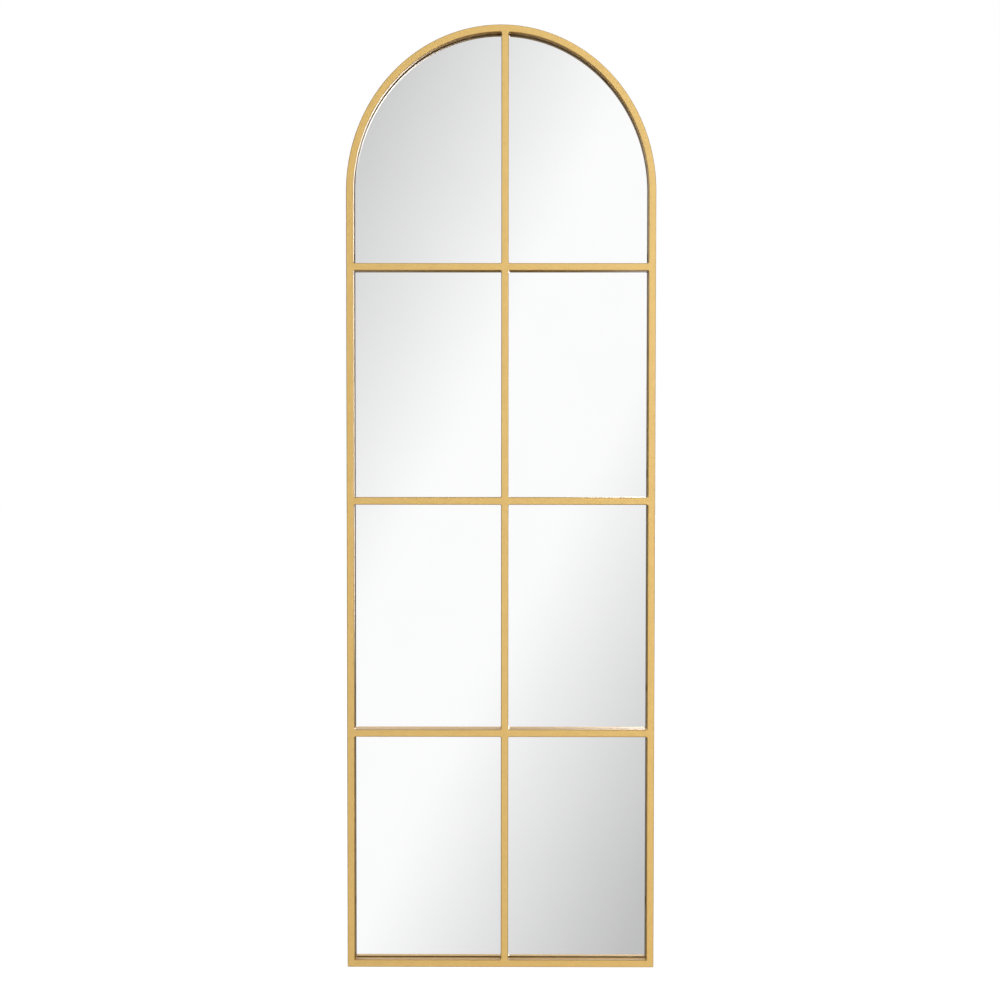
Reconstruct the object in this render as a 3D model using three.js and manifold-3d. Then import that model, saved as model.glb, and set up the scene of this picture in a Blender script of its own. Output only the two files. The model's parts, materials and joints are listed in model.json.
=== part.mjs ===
// Arched window-pane floor mirror: a welded steel tube frame with a flush lattice,
// one arched mirror glass behind it, and the clips, hangers and bumpers of its back.
// Millimetres, +Z up. The front faces -Y, and the origin is on the floor, under the
// middle of the whole mirror.
import * as THREE from 'three';
import { mergeVertices } from 'three/addons/utils/BufferGeometryUtils.js';
import Module from 'manifold-3d';

const wasm = await Module();
wasm.setup();

// ---------------------------------------------------------------- driving dimensions

// Frame and lattice
const frameWidth = 532; // over both stiles
const frameHeight = 1626; // floor to crown
const archRise = 283; // crown above the tops of the stiles
const tubeFace = 12.7; // width of every tube, seen from the front
const tubeWall = 1.2;
const tubeCorner = 1.5; // outer corner radius of the rolled tube
const latticeDepth = 16; // muntin and bars, front to back
const topBarDrop = 129.4; // top bar's centre below the tops of the stiles
const muntinOffset = 6.8; // the muntin stands right of the middle
const weldLeg = 2; // fillet left by the weld in each inside corner

// Glazing
const glassThickness = 4;
const glassEdgeGap = 1.2; // glass edge to tube
const boardThickness = 3;
const boardEdgeGap = 0.6; // board edge to tube
const backRecess = 6.4; // board's back in front of the frame's back: the clips' offset

// Board clips
const clipWidth = 14;
const clipThickness = 1.2;
const clipTongue = 11; // how far a clip reaches over the board
const clipEndMargin = 110; // first and last clip to the ends of a stile
const clipEdgeMargin = 0.8; // clip's outer end inside the tube's outer side

// Pan-head screws
const screwShankRadius = 1.75;
const screwLength = 9; // under the head
const screwHeadRadius = 3.4;
const screwHeadHeight = 2.2;
const recessLength = 3.6; // cross recess, end to end
const recessWidth = 0.9;
const recessDepth = 1.2;

// Hangers
const hangerDrop = 190; // ring axis below the top of the stile
const strapWidth = 7;
const strapThickness = 1.2;
const strapLength = 33; // ring axis to the strap's rounded end
const firstScrewDrop = 18; // ring axis to the first screw
const screwSpacing = 10;
const wireRadius = 1;
const ringBend = 1.5; // bend radius on the wire's centre line
const ringLeg = 4.6; // straight length of the D's sides

// Bumpers
const bumperRadius = 5.4;
const bumperHeight = 6.5;
const bumperEdge = 1.2; // rounding of the rim
const bumperNeckRadius = 2.1;
const bumperBarbRadius = 2.9;
const bumperBarbLength = 3;
const upperBumperAngle = 22; // degrees either side of the crown
const lowerBumperHeight = 55; // above the floor

// Clearances
const weldGap = 0.3; // left at mitres and coped ends
const glassGap = 0.3; // lattice to glass
const holeClearance = 0.35; // round screws and bumper necks
const barrelClearance = 0.3; // wire in its rolled barrel, and barrel to the ring's sides
const clipClearance = 0.5; // clip to the tube's inner side
const wireEndGap = 0.4; // between the butted ends of the ring's wire

// Counts
const barRows = 3;
const clipsPerStile = 4;
const clipsOnArch = 3;
const clipsOnRail = 2;

// Facets
const archSteps = 48;
const cornerSegments = 1;
const roundSides = 12;
const ringSteps = 56;
const wireSides = 8;

// ---------------------------------------------------------------- derived places

const springHeight = frameHeight - archRise;
const railCentre = tubeFace / 2;
const stileCentre = (frameWidth - tubeFace) / 2;
const innerHalfWidth = frameWidth / 2 - tubeFace;
const topBarHeight = springHeight - topBarDrop;
const barPitch = (topBarHeight - railCentre) / barRows;

// The frame tube is as deep as all that it holds.
const frameDepth = latticeDepth + glassGap + glassThickness + boardThickness + backRecess;
const faceY = -(frameDepth + bumperHeight) / 2;
const frameMiddleY = faceY + frameDepth / 2;
const latticeMiddleY = faceY + latticeDepth / 2;
const glassFrontY = faceY + latticeDepth + glassGap;
const boardFrontY = glassFrontY + glassThickness;
const backY = faceY + frameDepth;

const screwHoleRadius = screwShankRadius + holeClearance;
const bumperHoleRadius = bumperNeckRadius + holeClearance;

// ---------------------------------------------------------------- finishes

const gold = { color: 0xd4b06a, roughness: 0.42, metalness: 0.65 };
const silvered = { color: 0xe9ecee, roughness: 0.03, metalness: 1 };
const fibreboard = { color: 0x6b4a2f, roughness: 0.85, metalness: 0 };
const zinc = { color: 0xb9bcc0, roughness: 0.35, metalness: 0.9 };
const rubber = { color: 0x1d1d1e, roughness: 0.8, metalness: 0 };

// ---------------------------------------------------------------- working with solids

function solidOf(geometry) {
  const bare = geometry.clone();
  bare.deleteAttribute('normal');
  bare.deleteAttribute('uv');
  const merged = mergeVertices(bare, 1e-4);
  const corners = merged.index.array;
  const triangles = [];
  for (let i = 0; i < corners.length; i += 3) {
    const [a, b, c] = corners.slice(i, i + 3);
    if (a !== b && b !== c && c !== a) triangles.push(a, b, c);
  }
  return new wasm.Manifold(new wasm.Mesh({
    numProp: 3,
    vertProperties: merged.attributes.position.array,
    triVerts: Uint32Array.from(triangles),
  }));
}

function geometryOf(solid) {
  const mesh = solid.getMesh();
  const indexed = new THREE.BufferGeometry();
  indexed.setAttribute('position', new THREE.BufferAttribute(mesh.vertProperties, 3));
  indexed.setIndex(new THREE.BufferAttribute(mesh.triVerts, 1));
  const geometry = indexed.toNonIndexed();
  geometry.computeVertexNormals();
  return geometry;
}

// Drills a round hole from the back: through the wall that lies at depth y.
function drilled(solid, radius, x, y, z) {
  const bit = new THREE.CylinderGeometry(radius, radius, 4 * tubeWall, roundSides);
  return solid.subtract(solidOf(bit.translate(x, y, z)));
}

// ---------------------------------------------------------------- outlines

// Draws a closed path through right-angled corners, each given as [x, y, radius].
function drawCorners(path, corners) {
  corners.forEach(([x, y, radius], i) => {
    const [beforeX, beforeY] = corners.at(i - 1);
    const [afterX, afterY] = corners[(i + 1) % corners.length];
    const back = new THREE.Vector2(beforeX - x, beforeY - y).normalize();
    const on = new THREE.Vector2(afterX - x, afterY - y).normalize();
    const startAngle = Math.atan2(-on.y, -on.x);
    const endAngle = Math.atan2(-back.y, -back.x);
    const centreX = x + (back.x + on.x) * radius;
    const centreY = y + (back.y + on.y) * radius;
    path.absarc(centreX, centreY, radius, startAngle, endAngle, back.cross(on) > 0);
  });
  return path;
}

function rectangle(path, width, height, radius) {
  const x = width / 2;
  const y = height / 2;
  return drawCorners(path, [[-x, -y, radius], [x, -y, radius], [x, y, radius], [-x, y, radius]]);
}

// Rolled rectangular tube, cut square.
function tubeSection(across, deep) {
  const section = rectangle(new THREE.Shape(), across, deep, tubeCorner);
  const boreCorner = Math.max(tubeCorner - tubeWall, tubeWall / 4);
  const bore = rectangle(new THREE.Path(), across - 2 * tubeWall, deep - 2 * tubeWall, boreCorner);
  section.holes.push(bore);
  return section;
}

// The arch is half an ellipse. Its outer edge, the tube's centre line and the edges of
// glass and board are all this line, moved inwards square to itself.
class ArchLine extends THREE.Curve {
  constructor(inset) {
    super();
    this.inset = inset;
  }

  outward(t) {
    const angle = Math.PI * t;
    const across = archRise * Math.cos(angle);
    const up = (frameWidth / 2) * Math.sin(angle);
    return new THREE.Vector3(across, 0, up).normalize();
  }

  getPoint(t, target = new THREE.Vector3()) {
    const angle = Math.PI * t;
    const x = (frameWidth / 2) * Math.cos(angle);
    const z = springHeight + archRise * Math.sin(angle);
    return target.set(x, 0, z).addScaledVector(this.outward(t), -this.inset);
  }

  getTangent(t, target = new THREE.Vector3()) {
    const { x, z } = this.outward(t);
    return target.set(-z, 0, x);
  }
}

// The frame's whole outline, a distance inside its outer edge.
function archedOutline(inset) {
  const side = frameWidth / 2 - inset;
  const outline = new THREE.Shape();
  outline.moveTo(-side, inset);
  outline.lineTo(side, inset);
  for (const point of new ArchLine(inset).getSpacedPoints(archSteps)) {
    outline.lineTo(point.x, point.z);
  }
  return outline;
}

// A flat piece: its outline lies in X and Z, and it runs back from y = 0.
function sheet(outline, thickness, curveSegments = cornerSegments) {
  const options = { depth: thickness, bevelEnabled: false, curveSegments };
  const geometry = new THREE.ExtrudeGeometry(outline, options);
  return geometry.rotateX(Math.PI / 2).translate(0, thickness, 0);
}

// ---------------------------------------------------------------- tubes

// A tube along Z from 0 to length: its face width lies in X and its depth in Y.
function straightTube(deep, length) {
  const options = { depth: length, bevelEnabled: false, curveSegments: cornerSegments };
  return new THREE.ExtrudeGeometry(tubeSection(tubeFace, deep), options);
}

// Cuts the ends of such a tube to 45 degrees. Its outer side, at +X or -X, stays the longest.
function mitred(tube, length, outerSide, ends) {
  const place = tube.attributes.position;
  const setBack = weldGap / Math.SQRT2;
  for (let i = 0; i < place.count; i += 1) {
    const cut = setBack + tubeFace / 2 - outerSide * place.getX(i);
    const atStart = place.getZ(i) < length / 2;
    if (atStart && ends.start) place.setZ(i, cut);
    if (!atStart && ends.end) place.setZ(i, length - cut);
  }
  return tube;
}

// The fillet that a weld leaves beside the end of a lattice tube, on the tube's flat flank.
// The tube lies along Z: side picks its flank, and along points from this end into the tube.
function weldFillet(side, end, along) {
  const flank = (side * tubeFace) / 2;
  const root = flank - (side * tubeWall) / 2;
  const outline = new THREE.Shape();
  outline.moveTo(root, end);
  outline.lineTo(flank + side * weldLeg, end);
  outline.quadraticCurveTo(flank, end, flank, end + along * weldLeg);
  outline.lineTo(root, end + along * weldLeg);
  const fillet = sheet(outline, latticeDepth - 2 * tubeCorner, 3);
  return solidOf(fillet.translate(0, tubeCorner - latticeDepth / 2, 0));
}

// A muntin or bar along Z, with its weld fillets at both ends.
function latticeTube(length) {
  let tube = solidOf(straightTube(latticeDepth, length));
  for (const side of [-1, 1]) {
    tube = tube.add(weldFillet(side, 0, 1)).add(weldFillet(side, length, -1));
  }
  return geometryOf(tube);
}

function archTube(drillings) {
  const section = tubeSection(frameDepth, tubeFace);
  const options = {
    steps: archSteps,
    extrudePath: new ArchLine(tubeFace / 2),
    curveSegments: cornerSegments,
  };
  const tube = solidOf(new THREE.ExtrudeGeometry(section, options));
  const holed = drillings.reduce(
    (solid, { x, z, radius }) => drilled(solid, radius, x, frameDepth / 2, z),
    tube,
  );
  return geometryOf(holed);
}

function stileTube(outerSide, drillings) {
  const tube = mitred(
    straightTube(frameDepth, springHeight),
    springHeight,
    outerSide,
    { start: true, end: false },
  );
  const holed = drillings.reduce(
    (solid, { z, radius }) => drilled(solid, radius, 0, frameDepth / 2, z),
    solidOf(tube),
  );
  return geometryOf(holed);
}

function railTube(drillings) {
  const tube = mitred(
    straightTube(frameDepth, frameWidth),
    frameWidth,
    1,
    { start: true, end: true },
  );
  tube.rotateY(Math.PI / 2).translate(-frameWidth / 2, 0, 0);
  const holed = drillings.reduce(
    (solid, { x, radius }) => drilled(solid, radius, x, frameDepth / 2, 0),
    solidOf(tube),
  );
  return geometryOf(holed);
}

// The muntin stands in the frame's opening: its foot is square and its head is coped to
// the curve of the arch.
function muntinTube() {
  const foot = tubeFace + weldGap;
  const muntin = latticeTube(frameHeight - 2 * foot).translate(muntinOffset, 0, foot);
  const opening = sheet(archedOutline(foot), 2 * latticeDepth).translate(0, -latticeDepth, 0);
  return geometryOf(solidOf(muntin).intersect(solidOf(opening)));
}

// A half bar between a stile and the muntin, from x = 0 to length.
function barTube(length) {
  return latticeTube(length).rotateY(Math.PI / 2);
}

// ---------------------------------------------------------------- hardware of the back

// Pan-head screw along Y: the head stands on y = 0 and the point is at -Y.
function panHeadScrew() {
  const profile = [
    [0, -screwLength],
    [screwShankRadius, -screwLength + 2 * screwShankRadius],
    [screwShankRadius, 0],
    [screwHeadRadius, 0],
    [screwHeadRadius, 0.35 * screwHeadHeight],
    [0.86 * screwHeadRadius, 0.75 * screwHeadHeight],
    [0.5 * screwHeadRadius, screwHeadHeight],
    [0, screwHeadHeight],
  ].map(([r, y]) => new THREE.Vector2(r, y));
  const screw = solidOf(new THREE.LatheGeometry(profile, roundSides));
  const slot = new THREE.BoxGeometry(recessLength, 2 * recessDepth, recessWidth);
  const slots = solidOf(slot.clone().translate(0, screwHeadHeight, 0));
  const crossing = solidOf(slot.rotateY(Math.PI / 2).translate(0, screwHeadHeight, 0));
  return geometryOf(screw.subtract(slots.add(crossing)));
}

// Offset clip of bent strip. Its foot lies on the frame's back (y = 0), centred on the tube,
// and its tongue reaches along +X over the board, which lies backRecess lower.
function boardClip() {
  const heel = clipEdgeMargin - tubeFace / 2;
  const bend = tubeFace / 2 + clipClearance;
  const tip = bend + clipTongue;
  const side = drawCorners(new THREE.Shape(), [
    [heel, 0, 0],
    [bend, 0, 0],
    [bend, -backRecess, 0],
    [tip, -backRecess, 0],
    [tip, clipThickness - backRecess, 0],
    [bend + clipThickness, clipThickness - backRecess, 0],
    [bend + clipThickness, clipThickness, clipThickness],
    [heel, clipThickness, 0],
  ]);
  const options = { depth: clipWidth, bevelEnabled: false, curveSegments: 2 };
  const strip = new THREE.ExtrudeGeometry(side, options).translate(0, 0, -clipWidth / 2);
  const half = clipWidth / 2;
  const rounded = clipWidth / 4;
  const plan = drawCorners(new THREE.Shape(), [
    [heel, -half, 0],
    [tip, -half, rounded],
    [tip, half, rounded],
    [heel, half, 0],
  ]);
  const blank = sheet(plan, 4 * backRecess, 2).translate(0, -2 * backRecess, 0);
  const clip = solidOf(strip).intersect(solidOf(blank));
  return geometryOf(drilled(clip, screwHoleRadius, 0, clipThickness / 2, 0));
}

// Sizes that strap and ring share
const barrelInner = wireRadius + barrelClearance;
const barrelOuter = barrelInner + strapThickness;
const ringBarHalf = strapWidth / 2 + barrelClearance;
const ringHalfWidth = ringBarHalf + ringBend;

// Hanger strap on the stile's back: a flat strip whose upper end is rolled round the ring.
// The ring's axis is at the origin of X and Z, barrelOuter above the stile's face.
function hangerStrap() {
  const rollEnd = Math.PI * 1.1;
  const side = new THREE.Shape();
  side.moveTo(-strapLength, 0);
  side.absarc(0, barrelOuter, barrelOuter, -Math.PI / 2, rollEnd, false);
  side.absarc(0, barrelOuter, barrelInner, rollEnd, -Math.PI / 2, true);
  side.lineTo(-strapLength, strapThickness);
  const options = { depth: strapWidth, bevelEnabled: false, curveSegments: 7 };
  const strip = new THREE.ExtrudeGeometry(side, options);
  strip.translate(0, 0, -strapWidth / 2).rotateY(-Math.PI / 2);
  const half = strapWidth / 2;
  const plan = new THREE.Shape();
  plan.moveTo(half, 2 * barrelOuter);
  plan.lineTo(-half, 2 * barrelOuter);
  plan.absarc(0, half - strapLength, half, Math.PI, 2 * Math.PI, false);
  const blank = sheet(plan, 4 * barrelOuter, 4).translate(0, -barrelOuter, 0);
  let strap = solidOf(strip).intersect(solidOf(blank));
  for (const drop of strapScrewDrops) {
    strap = drilled(strap, screwHoleRadius, 0, strapThickness / 2, -drop);
  }
  return geometryOf(strap);
}

// D-ring of bent wire, hanging from its axis at the origin. The wire's ends butt inside the
// barrel.
function dRing() {
  const wire = new THREE.Path();
  const legEnd = -ringBend - ringLeg;
  wire.moveTo(wireEndGap / 2, 0);
  wire.lineTo(ringBarHalf, 0);
  wire.absarc(ringBarHalf, -ringBend, ringBend, Math.PI / 2, 0, true);
  wire.absarc(0, legEnd, ringHalfWidth, 0, -Math.PI / 2, true);
  wire.absarc(0, legEnd, ringHalfWidth, -Math.PI / 2, -Math.PI, true);
  wire.absarc(-ringBarHalf, -ringBend, ringBend, Math.PI, Math.PI / 2, true);
  wire.lineTo(-wireEndGap / 2, 0);
  const places = wire.getSpacedPoints(2 * ringSteps).map(({ x, y }) => new THREE.Vector3(x, 0, y));
  const section = new THREE.Shape().absarc(0, 0, wireRadius, 0, 2 * Math.PI, false);
  return new THREE.ExtrudeGeometry(section, {
    steps: ringSteps,
    extrudePath: new THREE.CatmullRomCurve3(places),
    curveSegments: wireSides / 2,
  });
}

// Push-in rubber bumper along Y: its head stands on y = 0, and its barb grips behind the wall.
function wallBumper() {
  const shoulder = -tubeWall - weldGap;
  const tip = shoulder - bumperBarbLength;
  const profile = [
    [0, tip],
    [0.6 * bumperBarbRadius, tip],
    [bumperBarbRadius, shoulder],
    [bumperNeckRadius, shoulder],
    [bumperNeckRadius, 0],
    [bumperRadius, 0],
    [bumperRadius, bumperHeight - bumperEdge],
    [bumperRadius - 0.3 * bumperEdge, bumperHeight - 0.3 * bumperEdge],
    [bumperRadius - bumperEdge, bumperHeight],
    [0, bumperHeight],
  ].map(([r, y]) => new THREE.Vector2(r, y));
  return new THREE.LatheGeometry(profile, 2 * roundSides);
}

// ---------------------------------------------------------------- places along the tubes

function spread(first, last, count) {
  return Array.from({ length: count }, (_, i) => first + ((last - first) * i) / (count - 1));
}

const stileClipHeights = spread(clipEndMargin, springHeight - clipEndMargin, clipsPerStile);
const railClipPlaces = spread(-frameWidth / 4, frameWidth / 4, clipsOnRail);
const hangerHeight = springHeight - hangerDrop;
const strapScrewDrops = [firstScrewDrop, firstScrewDrop + screwSpacing];
const strapScrewHeights = strapScrewDrops.map((drop) => hangerHeight - drop);

const sides = [
  { side: 'left', sign: -1 },
  { side: 'right', sign: 1 },
];
const archCentre = new ArchLine(tubeFace / 2);
const archClipPlaces = Array.from({ length: clipsOnArch }, (_, i) => {
  const t = (i + 1) / (clipsOnArch + 1);
  return { point: archCentre.getPoint(t), inward: archCentre.outward(t).negate() };
});
const upperBumperPlaces = sides.map(({ side, sign }) => {
  const t = 1 / 2 - (sign * upperBumperAngle) / 180;
  return { side, point: archCentre.getPoint(t) };
});

const stileDrillings = [
  ...[...stileClipHeights, ...strapScrewHeights].map((z) => ({ z, radius: screwHoleRadius })),
  { z: lowerBumperHeight, radius: bumperHoleRadius },
];
const railDrillings = railClipPlaces.map((x) => ({ x, radius: screwHoleRadius }));
const archDrillings = [
  ...archClipPlaces.map(({ point: { x, z } }) => ({ x, z, radius: screwHoleRadius })),
  ...upperBumperPlaces.map(({ point: { x, z } }) => ({ x, z, radius: bumperHoleRadius })),
];

// ---------------------------------------------------------------- assembly

const mirror = new THREE.Group();

function place(parent, name, geometry, finish, x = 0, y = 0, z = 0) {
  const mesh = new THREE.Mesh(geometry, new THREE.MeshStandardMaterial(finish));
  mesh.name = name;
  mesh.position.set(x, y, z);
  parent.add(mesh);
}

// Welded frame: arch, stiles and rail, with the lattice in it
const frame = new THREE.Group();
mirror.add(frame);
place(frame, 'arch_tube', archTube(archDrillings), gold, 0, frameMiddleY, 0);
place(frame, 'bottom_rail', railTube(railDrillings), gold, 0, frameMiddleY, railCentre);
place(frame, 'centre_muntin', muntinTube(), gold, 0, latticeMiddleY, 0);
for (const { side, sign } of sides) {
  const stile = stileTube(sign, stileDrillings);
  place(frame, `${side}_stile`, stile, gold, sign * stileCentre, frameMiddleY, 0);
}
['lower', 'middle', 'upper'].forEach((row, i) => {
  const height = railCentre + (i + 1) * barPitch;
  const muntinLeft = muntinOffset - tubeFace / 2;
  const muntinRight = muntinOffset + tubeFace / 2;
  const leftBar = barTube(muntinLeft + innerHalfWidth);
  const rightBar = barTube(innerHalfWidth - muntinRight);
  place(frame, `${row}_left_bar`, leftBar, gold, -innerHalfWidth, latticeMiddleY, height);
  place(frame, `${row}_right_bar`, rightBar, gold, muntinRight, latticeMiddleY, height);
});

// Glazing: the glass is bonded to its board
const glass = sheet(archedOutline(tubeFace + glassEdgeGap), glassThickness);
const board = sheet(archedOutline(tubeFace + boardEdgeGap), boardThickness);
place(mirror, 'mirror_glass', glass, silvered, 0, glassFrontY, 0);
place(mirror, 'backing_board', board, fibreboard, 0, boardFrontY, 0);

// Clips, each with its screw, turned to reach inwards over the board
function placeClip(name, x, z, inwardX, inwardZ) {
  const station = new THREE.Group();
  station.position.set(x, backY, z);
  station.rotation.y = Math.atan2(-inwardZ, inwardX);
  mirror.add(station);
  place(station, name, boardClip(), zinc);
  place(station, `${name}_screw`, panHeadScrew(), zinc, 0, clipThickness, 0);
}

for (const { side, sign } of sides) {
  stileClipHeights.forEach((z, i) => {
    placeClip(`${side}_clip_${i + 1}`, sign * stileCentre, z, -sign, 0);
  });
}
railClipPlaces.forEach((x, i) => placeClip(`rail_clip_${i + 1}`, x, railCentre, 0, 1));
archClipPlaces.forEach(({ point: { x, z }, inward }, i) => {
  placeClip(`arch_clip_${i + 1}`, x, z, inward.x, inward.z);
});

// Hangers: strap, two screws and a ring that swings in the strap's barrel
for (const { side, sign } of sides) {
  const hanger = new THREE.Group();
  hanger.position.set(sign * stileCentre, backY, hangerHeight);
  mirror.add(hanger);
  place(hanger, `${side}_hanger_strap`, hangerStrap(), zinc);
  place(hanger, `${side}_d_ring`, dRing(), zinc, 0, barrelOuter, 0);
  strapScrewDrops.forEach((drop, i) => {
    place(hanger, `${side}_hanger_screw_${i + 1}`, panHeadScrew(), zinc, 0, strapThickness, -drop);
  });
}

// Bumpers: two low on the stiles, and two by the crown, where the leaning mirror meets the wall
for (const { side, sign } of sides) {
  const x = sign * stileCentre;
  place(mirror, `lower_${side}_bumper`, wallBumper(), rubber, x, backY, lowerBumperHeight);
}
for (const { side, point: { x, z } } of upperBumperPlaces) {
  place(mirror, `upper_${side}_bumper`, wallBumper(), rubber, x, backY, z);
}

export default mirror;
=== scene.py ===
import json
from math import atan2, cos, hypot, pi, radians, sin

import bmesh
import bpy
from mathutils import Euler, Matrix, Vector


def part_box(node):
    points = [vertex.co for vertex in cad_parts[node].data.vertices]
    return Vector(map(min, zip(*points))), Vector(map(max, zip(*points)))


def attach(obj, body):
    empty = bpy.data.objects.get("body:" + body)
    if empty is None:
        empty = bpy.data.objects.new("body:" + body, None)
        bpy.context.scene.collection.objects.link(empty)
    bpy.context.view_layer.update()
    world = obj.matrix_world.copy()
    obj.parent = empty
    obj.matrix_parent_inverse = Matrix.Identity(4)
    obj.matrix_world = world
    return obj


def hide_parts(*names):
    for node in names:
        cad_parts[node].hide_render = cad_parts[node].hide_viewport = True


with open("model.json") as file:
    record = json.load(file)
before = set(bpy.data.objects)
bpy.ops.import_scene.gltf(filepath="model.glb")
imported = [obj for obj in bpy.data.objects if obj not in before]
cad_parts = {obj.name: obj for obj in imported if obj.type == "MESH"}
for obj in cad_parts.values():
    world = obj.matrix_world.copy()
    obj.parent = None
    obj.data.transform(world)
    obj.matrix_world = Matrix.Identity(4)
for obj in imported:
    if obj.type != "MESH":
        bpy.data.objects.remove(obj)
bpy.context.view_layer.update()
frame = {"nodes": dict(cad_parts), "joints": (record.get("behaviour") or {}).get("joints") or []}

# ------------------------------------------------------------------------------------------
# Frame tubes: one rectangular steel tube bent to the arch, two stiles and a bottom rail cut
# from the same tube. The corners are mitred, all joints are welded and ground flush, and the
# whole frame is sprayed in one satin gold, so that no seam is left on its face.
# ------------------------------------------------------------------------------------------
rail_low, rail_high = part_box("bottom_rail")
arch_low, arch_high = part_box("arch_tube")
tube_face = rail_high.z - rail_low.z
tube_depth = rail_high.y - rail_low.y
face_y = rail_low.y
back_y = rail_high.y
half_width = arch_high.x
spring_height = arch_low.z
arch_rise = arch_high.z - spring_height
tube_corner = 0.0015
corner_steps = 5
arch_steps = 180
shade_depth = 0.002  # how far behind the face the painted shade reaches
arch_leg = 0.001  # straight end of the bent tube, below the spring


def node(tree, kind, inputs=None, **settings):
    """A node with its settings, and with a value or a link on each named input."""
    made = tree.nodes.new(kind)
    for name, value in settings.items():
        setattr(made, name, value)
    for name, value in (inputs or {}).items():
        if isinstance(value, bpy.types.NodeSocket):
            tree.links.new(value, made.inputs[name])
        else:
            made.inputs[name].default_value = value
    return made


def reckoned(tree, operation, *values):
    """The result of a sum with numbers or links."""
    return node(tree, "ShaderNodeMath", dict(enumerate(values)), operation=operation).outputs[0]


def scaled(tree, value, start, end, low=0, high=1, **settings):
    """Low up to the start, high from the end, and evenly between them."""
    span = {"Value": value, "From Min": start, "From Max": end, "To Min": low, "To Max": high}
    return node(tree, "ShaderNodeMapRange", span, **settings).outputs[0]


def new_finish(name):
    """A new material, its tree, its shader and the place on the piece that it starts from."""
    finish = bpy.data.materials.new(name)
    finish.use_nodes = True
    tree = finish.node_tree
    place = node(tree, "ShaderNodeTexCoord").outputs["Object"]
    return finish, tree, tree.nodes["Principled BSDF"], place


def noise(tree, place, scale, detail, roughness=0.5):
    """Cloudy noise, the finer the larger its scale."""
    values = {"Vector": place, "Scale": scale, "Detail": detail, "Roughness": roughness}
    return node(tree, "ShaderNodeTexNoise", values).outputs["Fac"]


def two_tones(tree, value, dark, light, start=0.0, end=1.0):
    """Dark up to the start, light from the end, and mixed between them."""
    ramp = node(tree, "ShaderNodeValToRGB", {"Fac": value})
    first, last = ramp.color_ramp.elements
    first.position, first.color = start, dark
    last.position, last.color = end, light
    return ramp.outputs["Color"]


def roughened(tree, shader, height, strength, distance):
    """Gives a finish its fine relief."""
    relief = {"Height": height, "Strength": strength, "Distance": distance}
    tree.links.new(node(tree, "ShaderNodeBump", relief).outputs[0], shader.inputs["Normal"])


def shape_tree(name, sockets):
    """An empty Geometry Nodes tree with named inputs, and its input and output nodes."""
    tree = bpy.data.node_groups.new(name, "GeometryNodeTree")
    for label, kind in sockets.items():
        tree.interface.new_socket(label, in_out="INPUT", socket_type="NodeSocket" + kind)
    tree.interface.new_socket("Shape", in_out="OUTPUT", socket_type="NodeSocketGeometry")
    return tree, tree.nodes.new("NodeGroupInput").outputs, tree.nodes.new("NodeGroupOutput")


def finish_tree(tree, shape, finish, output):
    """Ends a tree: instances are made real and take their finish."""
    real = node(tree, "GeometryNodeRealizeInstances", {"Geometry": shape})
    painted = node(tree, "GeometryNodeSetMaterial", {"Geometry": real.outputs[0], "Material": finish})
    tree.links.new(painted.outputs[0], output.inputs[0])


def new_piece(name, mesh):
    piece = bpy.data.objects.new(name, mesh)
    bpy.context.scene.collection.objects.link(piece)
    return piece


def grown(piece, tree, values):
    """Runs a tree on a piece, with a value for each named input, and keeps the plain mesh."""
    grow = piece.modifiers.new("grow", "NODES")
    grow.node_group = tree
    for item in tree.interface.items_tree:
        if item.in_out == "INPUT" and item.name in values:
            grow[item.identifier] = values[item.name]
    return settled(piece)


def settled(piece):
    """Turns what a piece's modifiers make of it into its plain mesh."""
    bpy.context.view_layer.update()
    shown = bpy.context.evaluated_depsgraph_get()
    old = piece.data
    mesh = bpy.data.meshes.new_from_object(piece.evaluated_get(shown), depsgraph=shown)
    piece.modifiers.clear()
    piece.data = mesh
    mesh.name = piece.name
    bpy.data.meshes.remove(old)
    return piece


def rounded(piece, sharp_angle=50):
    """Faces out, flats shaded flat and rounded edges shaded round."""
    shell = bmesh.new()
    shell.from_mesh(piece.data)
    bmesh.ops.remove_doubles(shell, verts=shell.verts, dist=1e-7)
    bmesh.ops.recalc_face_normals(shell, faces=shell.faces)
    shell.to_mesh(piece.data)
    shell.free()
    piece.data.shade_smooth()
    piece.data.set_sharp_from_angle(angle=radians(sharp_angle))
    weigh = piece.modifiers.new("weigh", "WEIGHTED_NORMAL")
    weigh.mode = "FACE_AREA"
    weigh.weight = 100
    weigh.keep_sharp = True
    return settled(piece)


def path_mesh(name, points):
    mesh = bpy.data.meshes.new(name)
    mesh.from_pydata(points, [(i, i + 1) for i in range(len(points) - 1)], [])
    return mesh


def arch_point(turn, inset):
    """On the half ellipse, a distance inside its outer edge: turn runs from 0 to pi."""
    out = Vector((arch_rise * cos(turn), 0, half_width * sin(turn))).normalized()
    edge = Vector((half_width * cos(turn), 0, spring_height + arch_rise * sin(turn)))
    return edge - inset * out


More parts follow.
